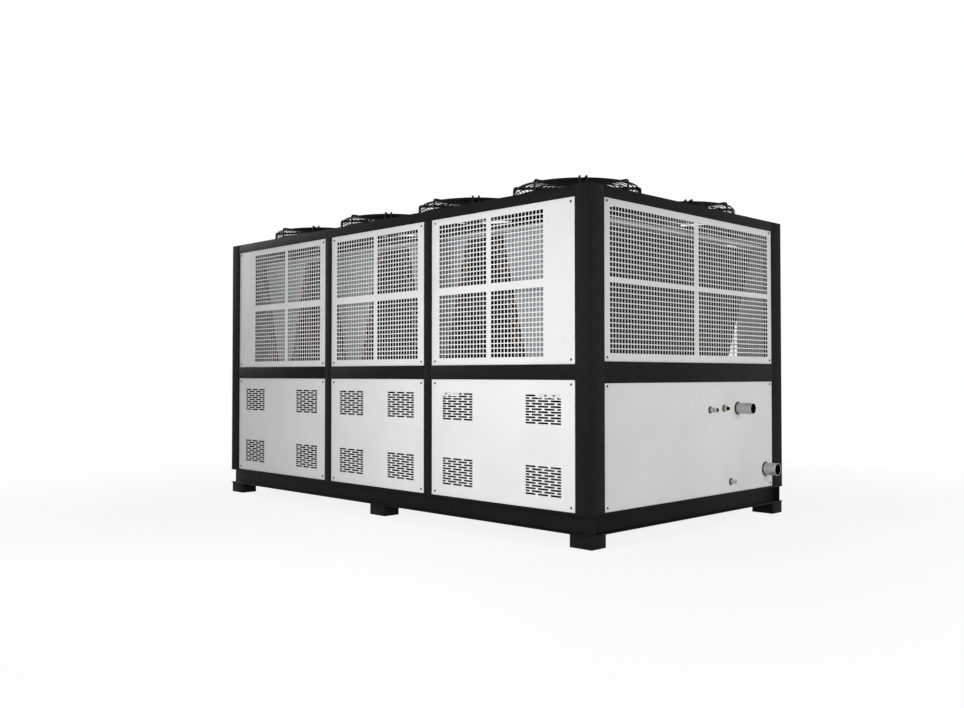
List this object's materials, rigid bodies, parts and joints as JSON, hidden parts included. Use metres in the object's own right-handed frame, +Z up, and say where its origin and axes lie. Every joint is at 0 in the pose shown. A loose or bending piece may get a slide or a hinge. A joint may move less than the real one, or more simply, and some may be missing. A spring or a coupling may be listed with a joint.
{
  "type": "air-cooled water chiller",
  "caption": "Framed air-cooled water chiller with perforated coil panels, slotted lower panels, guarded roof fans on V coils, and water pipe stubs on one end.",
  "frame": {"origin": "floor level, under the middle of the overall length (pipe stubs included) and of the width", "axes": "+X along the housing towards the pipe end, +Y across to the rear, +Z up"},
  "size_m": [4.1136, 2.25, 2.254],
  "materials": {
    "frame_black": "fine matt powder coat",
    "panel_grey": "satin light grey powder coat",
    "deck_black": "matt powder coat",
    "guard_black": "semi-gloss coated wire",
    "motor_black": "matt cast housing",
    "rotor_grey": "matt cast aluminium",
    "coil_fins": "fine aluminium fins",
    "galvanised": "galvanised sheet",
    "pipe_steel": "satin steel pipe",
    "brass": "plain brass",
    "rubber": "black rubber"
  },
  "bodies": {
    "housing": {"feet": "frame_black", "front_base_rail": "frame_black", "rear_base_rail": "frame_black", "end_base_rails": "frame_black", "cross_members": "frame_black", "floor_plate": "frame_black", "corner_posts": "frame_black", "mid_posts": "frame_black", "side_top_rails": "frame_black", "end_top_rails": "frame_black", "front_mid_rails": "frame_black", "rear_mid_rails": "frame_black", "end_mid_rails": "frame_black", "front_left_grille_panel": "panel_grey", "front_left_vent_panel": "panel_grey", "front_middle_grille_panel": "panel_grey", "front_middle_vent_panel": "panel_grey", "front_right_grille_panel": "panel_grey", "front_right_vent_panel": "panel_grey", "rear_left_grille_panel": "panel_grey", "rear_left_vent_panel": "panel_grey", "rear_middle_grille_panel": "panel_grey", "rear_middle_vent_panel": "panel_grey", "rear_right_grille_panel": "panel_grey", "rear_right_vent_panel": "panel_grey", "blank_end_grille_panel": "panel_grey", "blank_end_lower_panel": "panel_grey", "pipe_end_grille_panel": "panel_grey", "pipe_end_lower_panel": "panel_grey", "top_deck": "deck_black", "deck_beams": "galvanised", "fan_guards": "guard_black", "fan_motors": "motor_black", "coils": "coil_fins", "coil_end_plates": "galvanised", "coil_beams": "galvanised", "partition": "galvanised", "water_outlet": "pipe_steel", "water_inlet": "pipe_steel", "refill_stub": "pipe_steel", "relief_valve": "brass", "drain_stub": "pipe_steel", "grommets": "rubber"},
    "rotor_1": {"fan_rotor_1": "rotor_grey"},
    "rotor_2": {"fan_rotor_2": "rotor_grey"},
    "rotor_3": {"fan_rotor_3": "rotor_grey"},
    "rotor_4": {"fan_rotor_4": "rotor_grey"},
    "rotor_5": {"fan_rotor_5": "rotor_grey"},
    "rotor_6": {"fan_rotor_6": "rotor_grey"},
    "rotor_7": {"fan_rotor_7": "rotor_grey"},
    "rotor_8": {"fan_rotor_8": "rotor_grey"}
  },
  "joints": [
    {"name": "fan_spin_1", "type": "hinge", "parent": "housing", "child": "rotor_1", "pos_m": [-1.45175, -0.583, 2.177], "axis": [0, 0, 1], "continuous": true},
    {"name": "fan_spin_2", "type": "hinge", "parent": "housing", "child": "rotor_2", "pos_m": [-0.50175, -0.583, 2.177], "axis": [0, 0, 1], "continuous": true},
    {"name": "fan_spin_3", "type": "hinge", "parent": "housing", "child": "rotor_3", "pos_m": [0.44825, -0.583, 2.177], "axis": [0, 0, 1], "continuous": true},
    {"name": "fan_spin_4", "type": "hinge", "parent": "housing", "child": "rotor_4", "pos_m": [1.39825, -0.583, 2.177], "axis": [0, 0, 1], "continuous": true},
    {"name": "fan_spin_5", "type": "hinge", "parent": "housing", "child": "rotor_5", "pos_m": [-1.45175, 0.583, 2.177], "axis": [0, 0, 1], "continuous": true},
    {"name": "fan_spin_6", "type": "hinge", "parent": "housing", "child": "rotor_6", "pos_m": [-0.50175, 0.583, 2.177], "axis": [0, 0, 1], "continuous": true},
    {"name": "fan_spin_7", "type": "hinge", "parent": "housing", "child": "rotor_7", "pos_m": [0.44825, 0.583, 2.177], "axis": [0, 0, 1], "continuous": true},
    {"name": "fan_spin_8", "type": "hinge", "parent": "housing", "child": "rotor_8", "pos_m": [1.39825, 0.583, 2.177], "axis": [0, 0, 1], "continuous": true}
  ]
}
